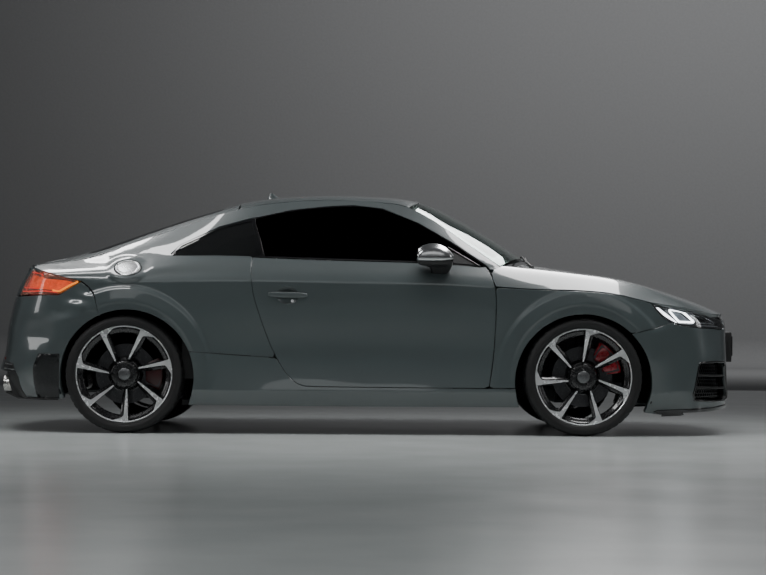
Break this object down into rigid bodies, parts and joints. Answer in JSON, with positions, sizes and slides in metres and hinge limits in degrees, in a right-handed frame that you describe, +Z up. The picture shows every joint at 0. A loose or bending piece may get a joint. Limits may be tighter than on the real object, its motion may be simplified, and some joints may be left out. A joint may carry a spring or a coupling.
{
  "type": "coupe car",
  "caption": "Low coupe car with a hatch tailgate, clamshell bonnet, long doors and wide wheel arches; it rolls, steers and opens.",
  "frame": {"origin": "on the ground, midway between the front and rear ends and on the centre line", "axes": "+X forward, +Y to the car's left, +Z up"},
  "size_m": [4.1905, 1.952, 1.343],
  "materials": {
    "paint": "solid grey gloss paint",
    "underbody": "black underbody coating",
    "satin_metal": "satin",
    "screen_glass": "clear with a green tint",
    "dark_glass": "dark tint",
    "black_trim": "grained black",
    "gloss_black": "gloss black",
    "head_lens": "clear lens over a dark housing, lit white",
    "plate": "blank",
    "tail_lens": "red lens, lit",
    "steel": "brushed",
    "cast_metal": "cast",
    "dark_plastic": "soft grain",
    "seat_leather": "black",
    "wheel_leather": "black",
    "steel_dark": "dark coated steel",
    "tyre": "rubber",
    "rim_alloy": "bright cut face, dark painted recesses",
    "disc_iron": "ground faces",
    "knuckle_red": "red caliper on a dark knuckle"
  },
  "bodies": {
    "body": {"floor_pan": "underbody", "body_sides": "paint", "roof_panel": "paint", "windscreen": "screen_glass", "cowl": "black_trim", "wipers": "black_trim", "front_wings": "paint", "front_bumper": "paint", "front_grille": "gloss_black", "side_intakes": "black_trim", "headlamps": "head_lens", "number_plates": "plate", "rear_bumper": "paint", "rear_diffuser": "black_trim", "tail_lamps": "tail_lens", "exhaust_system": "steel", "quarter_windows": "dark_glass", "antenna": "paint", "engine_block": "cast_metal", "dashboard": "dark_plastic", "centre_console": "dark_plastic", "front_seats": "seat_leather", "rear_seats": "seat_leather", "front_suspension": "steel_dark", "rear_suspension": "steel_dark", "wheel_arch_liners": "black_trim"},
    "bonnet": {"bonnet": "paint"},
    "fuel_flap": {"fuel_flap": "satin_metal"},
    "door_left": {"door_left": "paint", "door_handle_left": "paint", "door_glass_left": "dark_glass", "mirror_left": "satin_metal"},
    "door_right": {"door_right": "paint", "door_handle_right": "paint", "door_glass_right": "dark_glass", "mirror_right": "satin_metal"},
    "tailgate": {"tailgate": "paint", "rear_window": "dark_glass"},
    "spoiler": {"spoiler": "paint"},
    "steering_wheel": {"steering_wheel": "wheel_leather"},
    "knuckle_left": {"knuckle_front_left": "knuckle_red"},
    "knuckle_right": {"knuckle_front_right": "knuckle_red"},
    "wheel_front_left": {"rim_front_left": "rim_alloy", "tyre_front_left": "tyre", "brake_disc_front_left": "disc_iron"},
    "wheel_front_right": {"rim_front_right": "rim_alloy", "tyre_front_right": "tyre", "brake_disc_front_right": "disc_iron"},
    "wheel_rear_left": {"rim_rear_left": "rim_alloy", "tyre_rear_left": "tyre", "brake_disc_rear_left": "disc_iron"},
    "wheel_rear_right": {"rim_rear_right": "rim_alloy", "tyre_rear_right": "tyre", "brake_disc_rear_right": "disc_iron"}
  },
  "joints": [
    {"name": "steer_right", "type": "hinge", "parent": "body", "child": "knuckle_right", "pos_m": [1.2105, -0.743, 0.3225], "axis": [0, 0, 1], "range_deg": [-32, 32]},
    {"name": "steer_left", "type": "hinge", "parent": "body", "child": "knuckle_left", "pos_m": [1.2105, 0.743, 0.3225], "axis": [0, 0, 1], "range_deg": [-32, 32]},
    {"name": "steering_wheel_turn", "type": "hinge", "parent": "body", "child": "steering_wheel", "pos_m": [0.4, 0.385, 0.812], "axis": [-0.9135, 0, 0.4067], "range_deg": [-450, 450]},
    {"name": "wheel_spin_front_left", "type": "hinge", "parent": "knuckle_left", "child": "wheel_front_left", "pos_m": [1.2105, 0.783, 0.3225], "axis": [0, 1, 0], "continuous": true},
    {"name": "wheel_spin_front_right", "type": "hinge", "parent": "knuckle_right", "child": "wheel_front_right", "pos_m": [1.2105, -0.783, 0.3225], "axis": [0, 1, 0], "continuous": true},
    {"name": "wheel_spin_rear_left", "type": "hinge", "parent": "body", "child": "wheel_rear_left", "pos_m": [-1.2945, 0.773, 0.3225], "axis": [0, 1, 0], "continuous": true},
    {"name": "wheel_spin_rear_right", "type": "hinge", "parent": "body", "child": "wheel_rear_right", "pos_m": [-1.2945, -0.773, 0.3225], "axis": [0, 1, 0], "continuous": true},
    {"name": "door_right_swing", "type": "hinge", "parent": "body", "child": "door_right", "pos_m": [0.703, -0.88, 0.6], "axis": [0, 0, 1], "range_deg": [0, 65]},
    {"name": "door_left_swing", "type": "hinge", "parent": "body", "child": "door_left", "pos_m": [0.703, 0.88, 0.6], "axis": [0, 0, -1], "range_deg": [0, 65]},
    {"name": "bonnet_lift", "type": "hinge", "parent": "body", "child": "bonnet", "pos_m": [0.716, 0, 0.926], "axis": [0, -1, 0], "range_deg": [0, 50]},
    {"name": "tailgate_lift", "type": "hinge", "parent": "body", "child": "tailgate", "pos_m": [-0.694, 0, 1.297], "axis": [0, 1, 0], "range_deg": [0, 65]},
    {"name": "spoiler_rise", "type": "slide", "parent": "tailgate", "child": "spoiler", "axis": [-0.2607, 0, 0.9654], "range_m": [0, 0.06]},
    {"name": "fuel_flap_swing", "type": "hinge", "parent": "body", "child": "fuel_flap", "pos_m": [-1.2095, -0.84142, 0.91019], "axis": [0, 0.7986, 0.6018], "range_deg": [0, 90]}
  ],
  "couplings": [
    {"joint": "steer_left", "follows": "steer_right", "ratio": 1},
    {"joint": "steering_wheel_turn", "follows": "steer_right", "ratio": 14}
  ]
}
